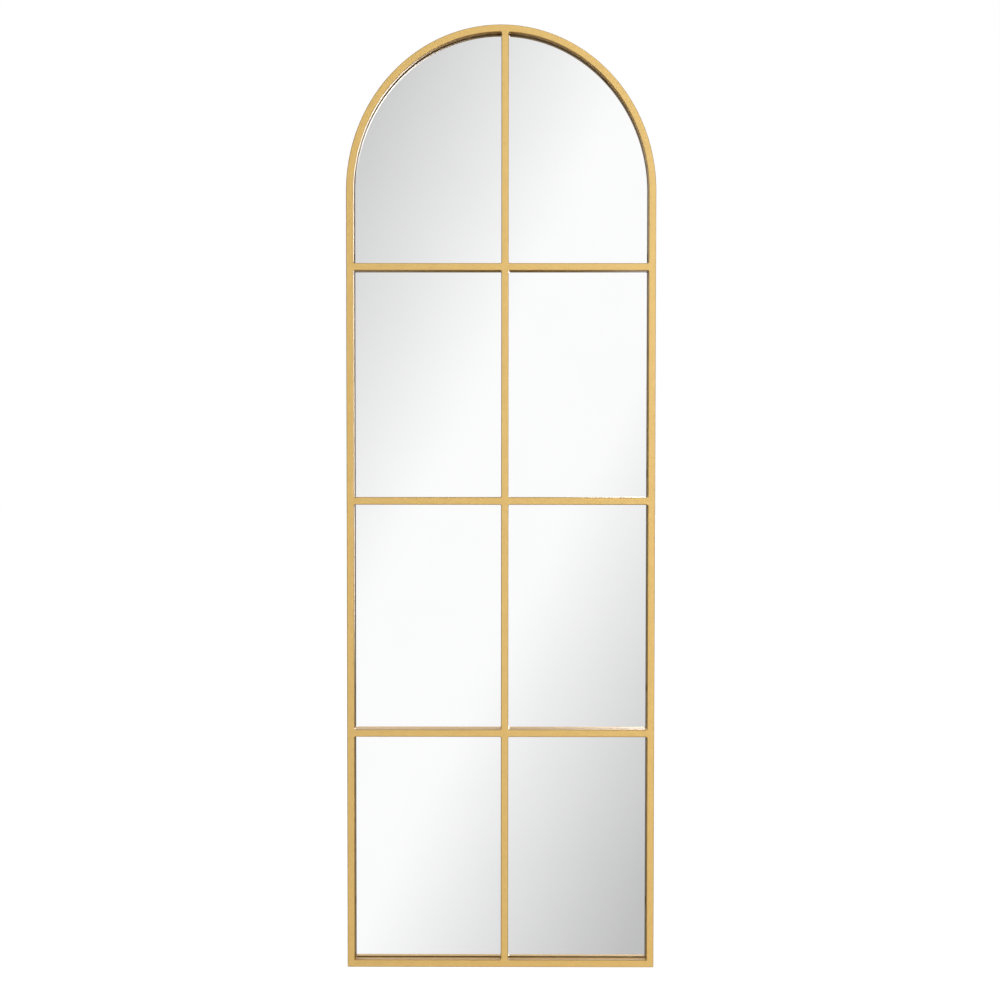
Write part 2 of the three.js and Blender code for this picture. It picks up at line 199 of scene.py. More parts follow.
def gold_paint_material():
    """Satin gold spray paint: warm, slightly uneven, with the fine grain of the spray. Behind
    its face it carries painted shade: darkest on the rounded edges, less dark on the walls."""
    paint, tree, shader, place = new_finish("gold_paint")
    clouds = noise(tree, place, 70, 3, 0.6)
    grain = noise(tree, place, 620, 3, 0.65)
    speckle = noise(tree, place, 2100, 1)
    mottle = scaled(tree, reckoned(tree, "MULTIPLY_ADD", clouds, 0.4, grain), 0.45, 0.95)
    gold = two_tones(tree, mottle, (0.73, 0.490, 0.143, 1), (0.85, 0.600, 0.198, 1))
    # Painted shade: behind the face the gold is darkened, most on the rounded edges and less on the
    # walls, where shade falls.
    behind_face = node(tree, "ShaderNodeSeparateXYZ", {0: place}).outputs["Y"]
    depth = scaled(tree, behind_face, face_y, face_y + shade_depth)
    shade_ramp = node(tree, "ShaderNodeValToRGB", {"Fac": depth})
    shade_ramp.color_ramp.elements.new(0.1)
    unshaded_face, shaded_edge, shaded_wall = shade_ramp.color_ramp.elements
    unshaded_face.position, unshaded_face.color = 0.01, (1, 1, 1, 1)
    shaded_edge.color = (0.50, 0.41, 0.26, 1)
    shaded_wall.position, shaded_wall.color = 0.7, (0.72, 0.64, 0.50, 1)
    shaded_gold = node(tree, "ShaderNodeMix", {"Factor": 1.0}, data_type="RGBA", blend_type="MULTIPLY")
    tree.links.new(gold, shaded_gold.inputs[6])
    tree.links.new(shade_ramp.outputs["Color"], shaded_gold.inputs[7])
    tree.links.new(shaded_gold.outputs[2], shader.inputs["Base Color"])
    tree.links.new(scaled(tree, grain, 0.3, 0.7, 0.54, 0.64), shader.inputs["Roughness"])
    roughened(tree, shader, reckoned(tree, "MULTIPLY_ADD", speckle, 0.35, grain), 0.15, 0.0001)
    shader.inputs["Metallic"].default_value = 0.8
    shader.inputs["Specular Tint"].default_value = (0.85, 0.62, 0.28, 1)
    shader.inputs["Coat Weight"].default_value = 0.8
    shader.inputs["Coat IOR"].default_value = 1.65
    shader.inputs["Coat Roughness"].default_value = 0.25
    return paint


def rolled_tube_tree():
    """Sweeps the rounded section of the rolled tube along a path in X and Z."""
    sizes = {
        "Path": "Geometry",
        "Face width": "Float",
        "Depth": "Float",
        "Corner radius": "Float",
        "Corner steps": "Int",
        "Finish": "Material",
    }
    tree, given, output = shape_tree("rolled tube", sizes)
    line = node(tree, "GeometryNodeMeshToCurve", {"Mesh": given["Path"]})
    level = node(tree, "GeometryNodeSetCurveNormal", {"Curve": line.outputs[0]}, mode="FREE")
    level.inputs["Normal"].default_value = (0, 1, 0)
    section = node(
        tree,
        "GeometryNodeCurvePrimitiveQuadrilateral",
        {"Width": given["Depth"], "Height": given["Face width"]},
    )
    soft = node(
        tree,
        "GeometryNodeFilletCurve",
        {"Curve": section.outputs[0], "Radius": given["Corner radius"], "Count": given["Corner steps"]},
        mode="POLY",
    )
    swept = node(
        tree,
        "GeometryNodeCurveToMesh",
        {"Curve": level.outputs[0], "Profile Curve": soft.outputs[0], "Fill Caps": True},
    )
    finish_tree(tree, swept.outputs[0], given["Finish"], output)
    return tree


gold_paint = gold_paint_material()
rolled_tube = rolled_tube_tree()
frame_middle_y = (face_y + back_y) / 2


def frame_tube(name, points):
    """A length of the frame's tube along a path, with its middle in the frame's depth."""
    line = [Vector((x, frame_middle_y, z)) for x, z in points]
    sizes = {
        "Face width": tube_face,
        "Depth": tube_depth,
        "Corner radius": tube_corner,
        "Corner steps": corner_steps,
        "Finish": gold_paint,
    }
    return grown(new_piece(name, path_mesh(name, line)), rolled_tube, sizes)


arch_line = [arch_point(pi * i / arch_steps, tube_face / 2) for i in range(arch_steps + 1)]
stile_x = half_width - tube_face / 2
arch_foot = spring_height - arch_leg
arch_path = [(stile_x, arch_foot), *[(p.x, p.z) for p in arch_line], (-stile_x, arch_foot)]
bent_arch = frame_tube("bent_arch_tube", arch_path)
rounded(bent_arch)
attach(bent_arch, "mirror")
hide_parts("arch_tube")

for side, sign in (("left", -1), ("right", 1)):
    stile = frame_tube(f"{side}_stile_tube", [(sign * stile_x, 0), (sign * stile_x, arch_foot)])
    for corner in stile.data.vertices:
        if corner.co.z < arch_foot / 2:
            corner.co.z = half_width - abs(corner.co.x)
    rounded(stile)
    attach(stile, "mirror")
    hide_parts(f"{side}_stile")

rail = frame_tube("bottom_rail_tube", [(-half_width, tube_face / 2), (half_width, tube_face / 2)])
for corner in rail.data.vertices:
    reach = half_width - corner.co.z
    corner.co.x = reach if corner.co.x > 0 else -reach
rounded(rail)
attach(rail, "mirror")
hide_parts("bottom_rail")

# ------------------------------------------------------------------------------------------
# Lattice: the muntin and six half bars of shallower steel tube stand flush with the face.
# Their ends are coped to the tubes they meet and welded there, and the welds are dressed to
# small fillets, so that face and edges run on from one tube into the next.
# ------------------------------------------------------------------------------------------
muntin_low, muntin_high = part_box("centre_muntin")
muntin_x = (muntin_low.x + muntin_high.x) / 2
lattice_back_y = muntin_high.y
inner_half_width = half_width - tube_face
half_bar = tube_face / 2
weld_fillet = 0.0022
fillet_steps = 5
halvings = 60


def tube_rounding():
    """From front to back: how far the outline lies inside the tube's widest, and its depth."""
    turns = [pi / 2 * i / corner_steps for i in range(corner_steps + 1)]
    front = [(tube_corner * (1 - sin(a)), face_y + tube_corner * (1 - cos(a))) for a in turns]
    back = [
        (tube_corner * (1 - cos(a)), lattice_back_y - tube_corner * (1 - sin(a))) for a in turns
    ]
    return front + back


def bar_flank(length, inset):
    """One flank of a bar as (along, across), swept out into a weld fillet at each end."""
    swing = weld_fillet + inset
    turns = [pi + pi / 2 * i / fillet_steps for i in range(fillet_steps + 1)]
    start = [
        (weld_fillet + swing * cos(a), half_bar + weld_fillet + swing * sin(a)) for a in turns
    ]
    return start + [(length - along, across) for along, across in reversed(start)]


def ring_faces(rings):
    """Four-cornered faces from each ring of corners to the next."""
    faces = []
    for near, far in zip(rings, rings[1:]):
        for i in range(len(near)):
            j = (i + 1) % len(near)
            faces.append((near[i], near[j], far[j], far[i]))
    return faces


def lattice_tube(name, length, placed):
    """A coped tube: placed turns (along, across) into a point of X and Z."""
    corners, rings = [], []
    for inset, y in tube_rounding():
        flank = bar_flank(length, inset)
        outline = flank + [(along, -across) for along, across in reversed(flank)]
        rings.append(range(len(corners), len(corners) + len(outline)))
        for along, across in outline:
            x, z = placed(along, across)
            corners.append((x, y, z))
    count = len(rings[0])
    faces = ring_faces(rings)
    for ring in (rings[0], rings[-1]):
        for i in range(count // 2 - 1):
            faces.append((ring[i], ring[i + 1], ring[count - 2 - i], ring[count - 1 - i]))
    mesh = bpy.data.meshes.new(name)
    mesh.from_pydata(corners, [], faces)
    mesh.materials.append(gold_paint)
    return rounded(new_piece(name, mesh))


def arch_height(x, inset):
    """Height over x of the arch's line a distance inside its outer edge, found by halving."""
    low, high = 0.0, pi
    for _ in range(halvings):
        middle = (low + high) / 2
        if arch_point(middle, inset).x > x:
            low = middle
        else:
            high = middle
    return arch_point(low, inset).z


muntin_length = arch_height(muntin_x, tube_face) - tube_face


def along_muntin(along, across):
    """The foot is square to the rail, and the head follows the inner edge of the arch."""
    x = muntin_x + across
    if along < muntin_length / 2:
        return x, tube_face + along
    return x, arch_height(x, tube_face + muntin_length - along)


muntin = lattice_tube("muntin_tube", muntin_length, along_muntin)
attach(muntin, "mirror")
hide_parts("centre_muntin")

for row in ("lower", "middle", "upper"):
    for side in ("left", "right"):
        bar_low, bar_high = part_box(f"{row}_{side}_bar")
        bar_z = (bar_low.z + bar_high.z) / 2
        start_x = -inner_half_width if side == "left" else muntin_x + half_bar
        end_x = muntin_x - half_bar if side == "left" else inner_half_width
        bar = lattice_tube(
            f"{row}_{side}_bar_tube",
            end_x - start_x,
            lambda along, across: (start_x + along, bar_z + across),
        )
        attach(bar, "mirror")
        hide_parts(f"{row}_{side}_bar")

# ------------------------------------------------------------------------------------------
# Mirror: one arched sheet of float glass, cut to the frame, its edges arrissed on a belt and
# its back silvered. It stands behind the whole lattice, so its picture runs on from pane to
# pane.
# ------------------------------------------------------------------------------------------
glass_low, glass_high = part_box("mirror_glass")
glass_inset = half_width - glass_high.x
arris = 0.0004


def arched_outline(inset):
    """The frame's whole outline, a distance inside its outer edge, as points of X and Z."""
    side = half_width - inset
    arch = [arch_point(pi * i / arch_steps, inset) for i in range(arch_steps + 1)]
    return [(-side, inset), (side, inset)] + [(p.x, p.z) for p in arch]


def silvered_material():
    """Silvered float glass: a clean mirror with the faint green of the glass before it."""
    silver, tree, shader, place = new_finish("silvered_glass")
    haze = noise(tree, place, 9, 2)
    tint = two_tones(tree, haze, (0.972, 0.980, 0.976, 1), (0.984, 0.990, 0.987, 1), 0.3, 0.7)
    tree.links.new(tint, shader.inputs["Base Color"])
    shader.inputs["Metallic"].default_value = 1
    shader.inputs["Roughness"].default_value = 0.012
    return silver


def glass_edge_material():
    """The ground edge of the glass: grey green and matt."""
    edge, tree, shader, place = new_finish("ground_glass_edge")
    grind = noise(tree, place, 1500, 2)
    tint = two_tones(tree, grind, (0.16, 0.24, 0.21, 1), (0.34, 0.44, 0.40, 1))
    tree.links.new(tint, shader.inputs["Base Color"])
    shader.inputs["Roughness"].default_value = 0.5
    return edge


layers = [
    (glass_inset + arris, glass_low.y),
    (glass_inset, glass_low.y + arris),
    (glass_inset, glass_high.y - arris),
    (glass_inset + arris, glass_high.y),
]
glass_points = [(x, y, z) for inset, y in layers for x, z in arched_outline(inset)]
count = len(glass_points) // len(layers)
rings = [tuple(range(i * count, (i + 1) * count)) for i in range(len(layers))]
glass_faces = [rings[0], *ring_faces(rings), rings[-1]]
glass_mesh = bpy.data.meshes.new("arched_mirror")
glass_mesh.from_pydata(glass_points, [], glass_faces)
glass_mesh.materials.append(silvered_material())
glass_mesh.materials.append(glass_edge_material())
for face in glass_mesh.polygons:
    face.material_index = 0 if len(face.vertices) > 4 else 1
glass = rounded(new_piece("arched_mirror", glass_mesh), sharp_angle=30)
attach(glass, "mirror")
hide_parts("mirror_glass")

# ------------------------------------------------------------------------------------------
# Backing board: a sheet of hardboard, cut to the same arch and bonded to the glass. It keeps
# its bare pressed face, brown and faintly flecked with fibres.
# ------------------------------------------------------------------------------------------


def hardboard_material():
    """Pressed wood fibre: brown clouds under short light and dark flecks."""
    board, tree, shader, place = new_finish("hardboard")
    clouds = noise(tree, place, 14, 4)
    fibres = noise(tree, place, 420, 4, 0.7)
    flecks = scaled(tree, reckoned(tree, "MULTIPLY_ADD", clouds, 0.45, fibres), 0.5, 0.95)
    brown = two_tones(tree, flecks, (0.115, 0.062, 0.030, 1), (0.290, 0.175, 0.095, 1))
    tree.links.new(brown, shader.inputs["Base Color"])
    roughened(tree, shader, fibres, 0.4, 0.0004)
    shader.inputs["Roughness"].default_value = 0.72
    return board


board_node = frame["nodes"]["backing_board"]
board_node.data.materials.clear()
board_node.data.materials.append(hardboard_material())

# ------------------------------------------------------------------------------------------
# Board clips: thirteen offset clips of bright zinc-plated strip, punched flat and bent
# twice. Each is screwed to the back of the frame and presses its tongue on the board.
# ------------------------------------------------------------------------------------------
board_back_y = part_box("backing_board")[1].y
clip_width = 0.014
clip_thickness = 0.0012
clip_tongue = 0.011
clip_edge_margin = 0.0008
clip_clearance = 0.0005
clip_bend = 0.0009  # radius of its middle line
clip_corner = 0.0035
clip_corner_steps = 6
bend_steps = 6
screw_hole = 0.0021
hole_sides = 16


def zinc_material():
    """Bright zinc plating: cool grey and cloudy, its shine rubbed duller in fine spots."""
    zinc, tree, shader, place = new_finish("zinc_plate")
    clouds = noise(tree, place, 130, 3)
    rubbed = noise(tree, place, 1400, 2)
    grey = two_tones(tree, clouds, (0.50, 0.51, 0.53, 1), (0.68, 0.69, 0.70, 1), 0.3, 0.7)
    tree.links.new(grey, shader.inputs["Base Color"])
    tree.links.new(scaled(tree, rubbed, 0.3, 0.7, 0.26, 0.42), shader.inputs["Roughness"])
    shader.inputs["Metallic"].default_value = 1
    return zinc


def arc(centre, radius, start, end, steps):
    """Points of an arc, as (across, up) pairs, both ends included."""
    turns = [start + (end - start) * i / steps for i in range(steps + 1)]
    return [(centre[0] + radius * cos(a), centre[1] + radius * sin(a)) for a in turns]


def bent_strip(name, outline, holes, line, thickness, finish):
    """Punches a flat blank, outline and holes as (along, across), bends it to follow a line
    of (x, y) points, and gives it its thickness. Across lies in Z."""
    blank = bmesh.new()
    for ring in [outline, *holes]:
        corners = [blank.verts.new((along, 0, across)) for along, across in ring]
        for here, after in zip(corners, corners[1:] + corners[:1]):
            blank.edges.new((here, after))
    bmesh.ops.triangle_fill(blank, use_beauty=True, edges=blank.edges, normal=(0, 1, 0))
    lengths = [0.0]
    for (x0, y0), (x1, y1) in zip(line, line[1:]):
        lengths.append(lengths[-1] + hypot(x1 - x0, y1 - y0))
    for length in lengths[1:-1]:
        everything = [*blank.verts, *blank.edges, *blank.faces]
        bmesh.ops.bisect_plane(
            blank, geom=everything, dist=1e-8, plane_co=(length, 0, 0), plane_no=(1, 0, 0)
        )
    for corner in blank.verts:
        along = min(max(corner.co.x, 0.0), lengths[-1])
        step = max(i for i in range(len(lengths) - 1) if lengths[i] <= along + 1e-9)
        share = (along - lengths[step]) / (lengths[step + 1] - lengths[step])
        (x0, y0), (x1, y1) = line[step], line[step + 1]
        corner.co.x, corner.co.y = x0 + (x1 - x0) * share, y0 + (y1 - y0) * share
    mesh = bpy.data.meshes.new(name)
    blank.to_mesh(mesh)
    blank.free()
    mesh.materials.append(finish)
    piece = new_piece(name, mesh)
    thick = piece.modifiers.new("thickness", "SOLIDIFY")
    thick.thickness = thickness
    thick.offset = 0
    thick.use_even_offset = True
    deburr = piece.modifiers.new("deburred", "BEVEL")
    deburr.width = thickness / 10
    deburr.segments = 2
    deburr.limit_method = "ANGLE"
    deburr.angle_limit = radians(50)
    return rounded(settled(piece))


def station_tree():
    """Puts a copy of a part at each point, turned about Y by the point's own turn."""
    sizes = {
        "Stations": "Geometry",
        "Part": "Object",
        "Loose turn": "Float",
        "Seed": "Int",
        "Finish": "Material",
    }
    tree, given, output = shape_tree("parts at stations", sizes)
    part = node(tree, "GeometryNodeObjectInfo", {"Object": given["Part"]})
    turn = node(tree, "GeometryNodeInputNamedAttribute", {"Name": "turn"}, data_type="FLOAT")
    loose = node(
        tree,
        "FunctionNodeRandomValue",
        {2: 0.0, 3: given["Loose turn"], "Seed": given["Seed"]},
        data_type="FLOAT",
    )
    whole = reckoned(tree, "ADD", turn.outputs[0], loose.outputs[1])
    about_y = node(tree, "ShaderNodeCombineXYZ", {"Y": whole})
    set_down = node(
        tree,
        "GeometryNodeInstanceOnPoints",
        {
            "Points": given["Stations"],
            "Instance": part.outputs["Geometry"],
            "Rotation": about_y.outputs[0],
        },
    )
    finish_tree(tree, set_down.outputs[0], given["Finish"], output)
    return tree


parts_at_stations = station_tree()


def repeated(name, part, stations, finish, loose_turn=0.0):
    """One mesh with a copy of a part at each (point, turn); the single part is used up."""
    mesh = bpy.data.meshes.new(name)
    mesh.from_pydata([point for point, _ in stations], [], [])
    turns = mesh.attributes.new("turn", "FLOAT", "POINT")
    for i, (_, turn) in enumerate(stations):
        turns.data[i].value = turn
    values = {"Part": part, "Loose turn": loose_turn, "Seed": 7, "Finish": finish}
    piece = grown(new_piece(name, mesh), parts_at_stations, values)
    bpy.data.objects.remove(part)
    return piece


zinc_plate = zinc_material()
clip_offset = back_y - board_back_y
clip_heel = clip_edge_margin - tube_face / 2
clip_fall = tube_face / 2 + clip_clearance + clip_thickness / 2
clip_tip = tube_face / 2 + clip_clearance + clip_tongue
clip_top = clip_thickness / 2
clip_floor = clip_top - clip_offset
clip_line = [
    (clip_heel, clip_top),
    *arc((clip_fall - clip_bend, clip_top - clip_bend), clip_bend, pi / 2, 0, bend_steps),
    *arc((clip_fall + clip_bend, clip_floor + clip_bend), clip_bend, pi, 3 * pi / 2, bend_steps),
    (clip_tip, clip_floor),
]
clip_length = sum(hypot(b[0] - a[0], b[1] - a[1]) for a, b in zip(clip_line, clip_line[1:]))
clip_side = clip_width / 2
clip_round = clip_length - clip_corner
clip_blank = [
    (0, -clip_side),
    *arc((clip_round, clip_corner - clip_side), clip_corner, -pi / 2, 0, clip_corner_steps),
    *arc((clip_round, clip_side - clip_corner), clip_corner, 0, pi / 2, clip_corner_steps),
    (0, clip_side),
]
clip_hole = arc((-clip_heel, 0), screw_hole, 0, 2 * pi, hole_sides)[:-1]
clip_shape = bent_strip("clip_shape", clip_blank, [clip_hole], clip_line, clip_thickness, zinc_plate)


def seat_of(screw):
    """Where a screw's axis meets the frame's back."""
    low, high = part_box(screw)
    return Vector(((low.x + high.x) / 2, back_y, (low.z + high.z) / 2))


clip_names = [f"{side}_clip_{i}" for side in ("left", "right") for i in (1, 2, 3, 4)]
clip_names += ["arch_clip_1", "arch_clip_2", "arch_clip_3", "rail_clip_1", "rail_clip_2"]
clip_stations = []
for name in clip_names:
    seat = seat_of(f"{name}_screw")
    if name.startswith("arch"):
        turn_on_arch = atan2(
            (seat.z - spring_height) / (arch_rise - tube_face / 2), seat.x / stile_x
        )
        inward = arch_point(turn_on_arch, tube_face) - arch_point(turn_on_arch, 0)
    elif name.startswith("rail"):
        inward = Vector((0, 0, 1))
    else:
        inward = Vector((-seat.x, 0, 0))
    clip_stations.append((seat, atan2(-inward.z, inward.x)))
clips = repeated("board_clips", clip_shape, clip_stations, zinc_plate)
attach(clips, "mirror")
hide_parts(*clip_names)

# ------------------------------------------------------------------------------------------
# Hangers: on each stile a strip of the same steel whose upper end is rolled round the wire of
# a D-ring. The strap is held by two screws, and the ring swings freely in its barrel.
# ------------------------------------------------------------------------------------------
strap_width = 0.007
strap_thickness = 0.0012
strap_length = 0.033
strap_hole_drops = (0.018, 0.028)
wire_radius = 0.001
barrel_clearance = 0.0003
barrel_middle = wire_radius + barrel_clearance + strap_thickness / 2
barrel_axis = barrel_middle + strap_thickness / 2
roll_turn = 1.1 * pi
roll_steps = 26
strap_end_steps = 16
ring_bend = 0.0015
ring_leg = 0.0046
wire_end_gap = 0.0004
ring_points = 14
wire_sides = 20

strap_line = [
    (-strap_length, strap_thickness / 2),
    *arc((0, barrel_axis), barrel_middle, -pi / 2, roll_turn, roll_steps),
]
roll_length = barrel_middle * (roll_turn + pi / 2)
strap_side = strap_width / 2
strap_blank = [
    (strap_length + roll_length, -strap_side),
    (strap_length + roll_length, strap_side),
    *arc((strap_side, 0), strap_side, pi / 2, 3 * pi / 2, strap_end_steps),
]
strap_holes = [
    arc((strap_length - drop, 0), screw_hole, 0, 2 * pi, hole_sides)[:-1]
    for drop in strap_hole_drops
]
strap_shape = bent_strip(
    "strap_shape", strap_blank, strap_holes, strap_line, strap_thickness, zinc_plate
)
ring_axes = {joint["child"]: Vector(joint["pos_m"]) for joint in frame["joints"]}
strap_stations = [
    (Vector((axis.x, back_y, axis.z)), -pi / 2) for axis in ring_axes.values()
]
straps = repeated("hanger_straps", strap_shape, strap_stations, zinc_plate)
rounded(straps)
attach(straps, "mirror")
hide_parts("left_hanger_strap", "right_hanger_strap")


def bent_wire_tree():
    """Round wire along a path, cut square at its ends."""
    sizes = {"Path": "Geometry", "Radius": "Float", "Sides": "Int", "Finish": "Material"}
    tree, given, output = shape_tree("bent wire", sizes)
    line = node(tree, "GeometryNodeMeshToCurve", {"Mesh": given["Path"]})
    section = node(
        tree,
        "GeometryNodeCurvePrimitiveCircle",
        {"Resolution": given["Sides"], "Radius": given["Radius"]},
        mode="RADIUS",
    )
    swept = node(
        tree,
        "GeometryNodeCurveToMesh",
        {"Curve": line.outputs[0], "Profile Curve": section.outputs[0], "Fill Caps": True},
    )
    finish_tree(tree, swept.outputs[0], given["Finish"], output)
    return tree


bent_wire = bent_wire_tree()
bar_half = strap_side + barrel_clearance
ring_half = bar_half + ring_bend
leg_end = -ring_bend - ring_leg
half_ring = [
    (wire_end_gap / 2, 0.0),
    *arc((bar_half, -ring_bend), ring_bend, pi / 2, 0, ring_points // 2),
    *arc((0, leg_end), ring_half, 0, -pi / 2, ring_points),
]
ring_line = half_ring + [(-x, z) for x, z in reversed(half_ring[:-1])]
for body, axis in ring_axes.items():
    name = f"{body.split('_')[0]}_ring_wire"
    points = [axis + Vector((x, 0, z)) for x, z in ring_line]
    sizes = {"Radius": wire_radius, "Sides": wire_sides, "Finish": zinc_plate}
    ring = grown(new_piece(name, path_mesh(name, points)), bent_wire, sizes)
    rounded(ring)
    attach(ring, body)
    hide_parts(f"{body.split('_')[0]}_d_ring")

# ------------------------------------------------------------------------------------------
# Screws: seventeen short pan-head screws of the same plating, one through each clip and two
# through each strap, driven home with their cross recesses at any turn.
# ------------------------------------------------------------------------------------------
head_radius = 0.0034
head_height = 0.0022
head_rim = 0.3  # how much of its height stands straight, under the dome
dome_steps = 8
shank_radius = 0.00175
shank_length = 0.009
recess_length = 0.0038
recess_width = 0.00085
recess_depth = 0.0013
recess_taper = (0.55, 0.7)  # how much of its length and of its width is left at its floor
screw_sides = 32


def turned(name, profile, sides, finish):
    """A lathe-turned shape round the Y axis, from (radius, y) pairs with both ends at 0."""
    corners, rings = [], []
    for radius, y in profile:
        around = range(sides) if radius > 0 else range(1)
        rings.append(range(len(corners), len(corners) + len(around)))
        for i in around:
            a = 2 * pi * i / sides
            corners.append((radius * cos(a), y, radius * sin(a)))
    faces = []
    for near, far in zip(rings, rings[1:]):
        for i in range(sides):
            j = (i + 1) % sides
            four = (near[i % len(near)], near[j % len(near)], far[j % len(far)], far[i % len(far)])
            faces.append(tuple(dict.fromkeys(four)))
    mesh = bpy.data.meshes.new(name)
    mesh.from_pydata(corners, [], faces)
    mesh.materials.append(finish)
    return rounded(new_piece(name, mesh), sharp_angle=40)


dome_turns = [pi / 2 * i / dome_steps for i in range(1, dome_steps + 1)]
screw_profile = [
    (0, head_height),
    *[(head_radius * sin(a), head_height * (head_rim + (1 - head_rim) * cos(a))) for a in dome_turns],
    (head_radius, 0.0),
    (shank_radius, 0.0),
    (shank_radius, 2 * shank_radius - shank_length),
    (0, -shank_length),
]
screw_shape = turned("screw_shape", screw_profile, screw_sides, zinc_plate)
cutter_mesh = bmesh.new()
for turn in (0, pi / 2):
    wing = bmesh.ops.create_cube(cutter_mesh, size=1)["verts"]
    for corner in wing:
        shorter, narrower = recess_taper if corner.co.y < 0 else (1, 1)
        corner.co = Euler((0, turn, 0)).to_matrix() @ Vector((
            corner.co.x * recess_length * shorter,
            head_height + corner.co.y * 2 * recess_depth,
            corner.co.z * recess_width * narrower,
        ))
recess = bpy.data.meshes.new("recess_cutter")
cutter_mesh.to_mesh(recess)
cutter_mesh.free()
cutter = new_piece("recess_cutter", recess)
cut = screw_shape.modifiers.new("recess", "BOOLEAN")
cut.operation = "DIFFERENCE"
cut.solver = "EXACT"
cut.use_self = True
cut.object = cutter
settled(screw_shape)
bpy.data.objects.remove(cutter)

hanger_screws = [f"{side}_hanger_screw_{i}" for side in ("left", "right") for i in (1, 2)]
screw_names = [f"{name}_screw" for name in clip_names] + hanger_screws
screw_stations = []
for name in screw_names:
    seat = seat_of(name)
    seat.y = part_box(name)[1].y - head_height
    screw_stations.append((seat, 0.0))
screws = repeated("pan_head_screws", screw_shape, screw_stations, zinc_plate, loose_turn=pi / 2)
rounded(screws, sharp_angle=35)
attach(screws, "mirror")
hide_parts(*screw_names)

# ------------------------------------------------------------------------------------------
# Bumpers: four push-in buttons of black rubber, two low on the stiles and two on the arch,
# where the leaning frame meets the wall. Each is moulded in one with the barb that holds it.
# ------------------------------------------------------------------------------------------
bumper_low, bumper_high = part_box("lower_left_bumper")
bumper_radius = (bumper_high.x - bumper_low.x) / 2
bumper_height = bumper_high.y - back_y
bumper_rim = 0.0014
rim_steps = 6
bumper_chamfer = 0.0003
bumper_sides = 40
neck_radius = 0.0021
barb_radius = 0.0029
barb_length = 0.003
barb_tip = 0.6  # how much of its radius is left at its tip
barb_play = 0.0003
wall_of_tube = 0.0012


def rubber_material():
    """Black moulded rubber: matt, with a little dust on it."""
    rubber, tree, shader, place = new_finish("black_rubber")
    dust = noise(tree, place, 700, 4, 0.7)
    black = two_tones(tree, dust, (0.010, 0.010, 0.011, 1), (0.045, 0.044, 0.042, 1), 0.35, 0.8)
    tree.links.new(black, shader.inputs["Base Color"])
    roughened(tree, shader, dust, 0.3, 0.0001)
    shader.inputs["Roughness"].default_value = 0.68
    return rubber


black_rubber = rubber_material()
rim_centre = (bumper_radius - bumper_rim, bumper_height - bumper_rim)
barb_base = -wall_of_tube - barb_play
bumper_profile = [
    (0, bumper_height),
    *arc(rim_centre, bumper_rim, pi / 2, 0, rim_steps),
    (bumper_radius, bumper_chamfer),
    (bumper_radius - bumper_chamfer, 0.0),
    (neck_radius, 0.0),
    (neck_radius, barb_base),
    (barb_radius, barb_base),
    (barb_tip * barb_radius, barb_base - barb_length),
    (0, barb_base - barb_length),
]
bumper_shape = turned("bumper_shape", bumper_profile, bumper_sides, black_rubber)
bumper_names = [f"{row}_{side}_bumper" for row in ("lower", "upper") for side in ("left", "right")]
bumpers = repeated(
    "wall_bumpers", bumper_shape, [(seat_of(name), 0.0) for name in bumper_names], black_rubber
)
rounded(bumpers, sharp_angle=40)
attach(bumpers, "mirror")
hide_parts(*bumper_names)

# ------------------------------------------------------------------------------------------
# Studio: a white ground and a white floor that only keeps the shadow, with two soft lamps to
# the right and left in front. What the glass and the paint show of the room is drawn by
# direction in the world, for glossy rays alone.
# ------------------------------------------------------------------------------------------
floor_reach = 20
floor_drop = 0.0002  # clear of the rail's underside
floor_bounce = (0.2, 0.2, 0.2, 1)  # its colour for the light that it gives back
floor_shade = (0.25, 0.25, 0.25, 1)  # how much of what is seen of it a shadow can take
floor_glow = (0.92, 0.92, 0.92, 1)
floor_mesh = bpy.data.meshes.new("studio_floor")
floor_corners = [
    (x * floor_reach, y * floor_reach, 0) for x, y in ((-1, -1), (1, -1), (1, 1), (-1, 1))
]
floor_mesh.from_pydata(floor_corners, [], [(0, 1, 2, 3)])
studio_floor = new_piece("studio_floor", floor_mesh)
studio_floor.location.z = -floor_drop
floor_paint = bpy.data.materials.new("studio_floor_paint")
floor_paint.use_nodes = True
tree = floor_paint.node_tree
tree.nodes.clear()
path_kind = node(tree, "ShaderNodeLightPath").outputs
grey_floor = node(tree, "ShaderNodeBsdfDiffuse", {"Color": floor_bounce})
lit_floor = node(tree, "ShaderNodeBsdfDiffuse", {"Color": floor_shade})
white_floor = node(tree, "ShaderNodeEmission", {"Color": floor_glow, "Strength": 1})
seen_floor = node(tree, "ShaderNodeAddShader", {0: lit_floor.outputs[0], 1: white_floor.outputs[0]})
floor_mix = node(
    tree,
    "ShaderNodeMixShader",
    {0: path_kind["Is Camera Ray"], 1: grey_floor.outputs[0], 2: seen_floor.outputs[0]},
)
node(tree, "ShaderNodeOutputMaterial", {"Surface": floor_mix.outputs[0]})
floor_mesh.materials.append(floor_paint)
studio_floor.visible_glossy = False


def studio_lamp(name, place, aim, width, height, power):
    """A soft rectangular lamp at a place, turned to what it lights."""
    lamp = bpy.data.lights.new(name, "AREA")
    lamp.shape = "RECTANGLE"
    lamp.size, lamp.size_y = width, height
    lamp.energy = power
    stand = new_piece(name, lamp)
    stand.visible_glossy = False
    stand.location = place
    stand.rotation_euler = (Vector(aim) - Vector(place)).to_track_quat("-Z", "Y").to_euler()


studio_lamp("right_lamp", (0.90, -2.9, 1.0), (0, 0, 1.0), 0.7, 0.9, 12)
studio_lamp("left_lamp", (-1.55, -2.9, 1.0), (0, 0, 1.0), 0.6, 1.3, 4)

